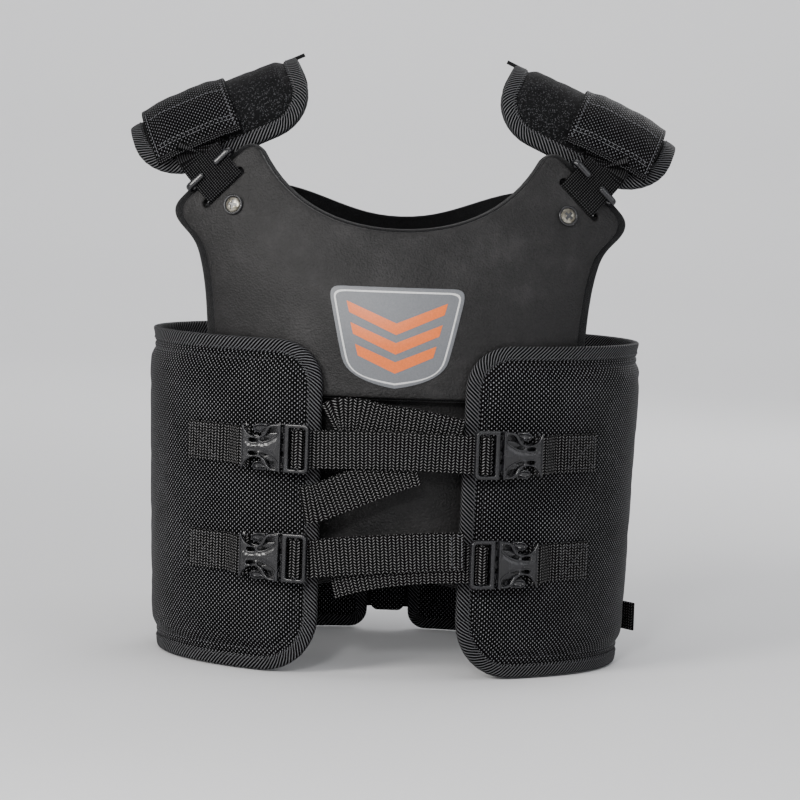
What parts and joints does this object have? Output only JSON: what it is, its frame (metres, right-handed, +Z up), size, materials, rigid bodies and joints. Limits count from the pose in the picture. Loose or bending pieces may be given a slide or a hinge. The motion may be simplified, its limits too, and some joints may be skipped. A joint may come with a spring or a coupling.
{
  "type": "chest protector",
  "caption": "Kart and contact-sport chest protector: rigid chest and belly plates, padded side wraps with side-release buckles, shoulder pads and webbing.",
  "frame": {"origin": "middle of the torso space, level with the wraps' hems, where the wearer's trunk or a stand holds it", "axes": "+X to the wearer's left, -Y to the front of the chest, +Z up the trunk"},
  "size_m": [0.3756, 0.2586, 0.4096],
  "materials": {
    "shell": "fine leather grain, satin",
    "foam": "brushed black foam",
    "nylon": "coarse ballistic weave, matte",
    "webbing": "ribbed webbing, matte",
    "neoprene": "speckled knit face, matte",
    "acetal": "satin moulding",
    "screw": "nickel plated",
    "badge": "printed vinyl"
  },
  "bodies": {
    "root": {"chest_shell": "shell", "chest_liner": "foam", "badge": "badge", "upper_strap": "webbing", "upper_strap_tail": "webbing", "lower_strap": "webbing", "lower_strap_tail": "webbing", "back_shell": "shell", "back_liner": "foam", "spine_band": "nylon", "lower_spine_screw": "screw", "upper_spine_screw": "screw", "right_chest_screw": "screw", "right_chest_nut": "screw", "right_split_loop": "acetal", "right_shoulder_strap": "webbing", "right_shoulder_pad": "neoprene", "right_sleeve_base": "nylon", "right_rear_loop": "acetal", "left_chest_screw": "screw", "left_chest_nut": "screw", "left_split_loop": "acetal", "left_shoulder_strap": "webbing", "left_shoulder_pad": "neoprene", "left_sleeve_base": "nylon", "left_rear_loop": "acetal"},
    "right_wrap": {"right_wrap": "nylon", "right_upper_socket": "acetal", "right_upper_wrap_stub": "webbing", "right_lower_socket": "acetal", "right_lower_wrap_stub": "webbing"},
    "left_wrap": {"left_wrap": "nylon", "left_upper_socket": "acetal", "left_upper_wrap_stub": "webbing", "left_lower_socket": "acetal", "left_lower_wrap_stub": "webbing", "left_waist_tail": "webbing"},
    "right_upper_plug": {"right_upper_plug": "acetal", "right_upper_plug_webbing": "webbing"},
    "right_upper_top_prong": {"right_upper_top_prong": "acetal"},
    "right_upper_bottom_prong": {"right_upper_bottom_prong": "acetal"},
    "left_upper_plug": {"left_upper_plug": "acetal", "left_upper_plug_webbing": "webbing"},
    "left_upper_top_prong": {"left_upper_top_prong": "acetal"},
    "left_upper_bottom_prong": {"left_upper_bottom_prong": "acetal"},
    "right_lower_plug": {"right_lower_plug": "acetal", "right_lower_plug_webbing": "webbing"},
    "right_lower_top_prong": {"right_lower_top_prong": "acetal"},
    "right_lower_bottom_prong": {"right_lower_bottom_prong": "acetal"},
    "left_lower_plug": {"left_lower_plug": "acetal", "left_lower_plug_webbing": "webbing"},
    "left_lower_top_prong": {"left_lower_top_prong": "acetal"},
    "left_lower_bottom_prong": {"left_lower_bottom_prong": "acetal"},
    "belly": {"belly_shell": "shell", "belly_liner": "foam"},
    "right_flap": {"right_sleeve_flap": "nylon"},
    "left_flap": {"left_sleeve_flap": "nylon"}
  },
  "joints": [
    {"name": "right_wrap_swing", "type": "hinge", "parent": "root", "child": "right_wrap", "pos_m": [0, 0.13, 0.11], "axis": [0, 0, -1], "range_deg": [0, 45]},
    {"name": "left_wrap_swing", "type": "hinge", "parent": "root", "child": "left_wrap", "pos_m": [0, 0.13, 0.11], "axis": [0, 0, 1], "range_deg": [0, 45]},
    {"name": "right_upper_plug_release", "type": "slide", "parent": "root", "child": "right_upper_plug", "axis": [0.9483, -0.3173, 0], "range_m": [0, 0.02]},
    {"name": "right_upper_top_squeeze", "type": "hinge", "parent": "right_upper_plug", "child": "right_upper_top_prong", "pos_m": [-0.0703, -0.12328, 0.1562], "axis": [-0.3173, -0.9483, 0], "range_deg": [0, 8], "stiffness_Nm_per_rad": 0.05},
    {"name": "right_upper_bottom_squeeze", "type": "hinge", "parent": "right_upper_plug", "child": "right_upper_bottom_prong", "pos_m": [-0.0703, -0.12328, 0.1438], "axis": [0.3173, 0.9483, 0], "range_deg": [0, 8], "stiffness_Nm_per_rad": 0.05},
    {"name": "left_upper_plug_release", "type": "slide", "parent": "root", "child": "left_upper_plug", "axis": [-0.9483, -0.3173, 0], "range_m": [0, 0.02]},
    {"name": "left_upper_top_squeeze", "type": "hinge", "parent": "left_upper_plug", "child": "left_upper_top_prong", "pos_m": [0.0703, -0.12328, 0.1562], "axis": [-0.3173, 0.9483, 0], "range_deg": [0, 8], "stiffness_Nm_per_rad": 0.05},
    {"name": "left_upper_bottom_squeeze", "type": "hinge", "parent": "left_upper_plug", "child": "left_upper_bottom_prong", "pos_m": [0.0703, -0.12328, 0.1438], "axis": [0.3173, -0.9483, 0], "range_deg": [0, 8], "stiffness_Nm_per_rad": 0.05},
    {"name": "right_lower_plug_release", "type": "slide", "parent": "root", "child": "right_lower_plug", "axis": [0.9483, -0.3173, 0], "range_m": [0, 0.02]},
    {"name": "right_lower_top_squeeze", "type": "hinge", "parent": "right_lower_plug", "child": "right_lower_top_prong", "pos_m": [-0.06967, -0.12139, 0.0842], "axis": [-0.3173, -0.9483, 0], "range_deg": [0, 8], "stiffness_Nm_per_rad": 0.05},
    {"name": "right_lower_bottom_squeeze", "type": "hinge", "parent": "right_lower_plug", "child": "right_lower_bottom_prong", "pos_m": [-0.06967, -0.12139, 0.0718], "axis": [0.3173, 0.9483, 0], "range_deg": [0, 8], "stiffness_Nm_per_rad": 0.05},
    {"name": "left_lower_plug_release", "type": "slide", "parent": "root", "child": "left_lower_plug", "axis": [-0.9483, -0.3173, 0], "range_m": [0, 0.02]},
    {"name": "left_lower_top_squeeze", "type": "hinge", "parent": "left_lower_plug", "child": "left_lower_top_prong", "pos_m": [0.06967, -0.12139, 0.0842], "axis": [-0.3173, 0.9483, 0], "range_deg": [0, 8], "stiffness_Nm_per_rad": 0.05},
    {"name": "left_lower_bottom_squeeze", "type": "hinge", "parent": "left_lower_plug", "child": "left_lower_bottom_prong", "pos_m": [0.06967, -0.12139, 0.0718], "axis": [0.3173, -0.9483, 0], "range_deg": [0, 8], "stiffness_Nm_per_rad": 0.05},
    {"name": "belly_flex", "type": "hinge", "parent": "root", "child": "belly", "pos_m": [0, -0.10246, 0.198], "axis": [1, 0, 0], "range_deg": [0, 15]},
    {"name": "right_flap_lift", "type": "hinge", "parent": "root", "child": "right_flap", "pos_m": [-0.15233, -0.01745, 0.38062], "axis": [-0.9063, 0, -0.4226], "range_deg": [0, 90]},
    {"name": "left_flap_lift", "type": "hinge", "parent": "root", "child": "left_flap", "pos_m": [0.15233, -0.01745, 0.38062], "axis": [-0.9063, 0, 0.4226], "range_deg": [0, 90]}
  ],
  "couplings": [
    {"joint": "right_upper_bottom_squeeze", "follows": "right_upper_top_squeeze", "ratio": 1},
    {"joint": "left_upper_bottom_squeeze", "follows": "left_upper_top_squeeze", "ratio": 1},
    {"joint": "right_lower_bottom_squeeze", "follows": "right_lower_top_squeeze", "ratio": 1},
    {"joint": "left_lower_bottom_squeeze", "follows": "left_lower_top_squeeze", "ratio": 1}
  ]
}
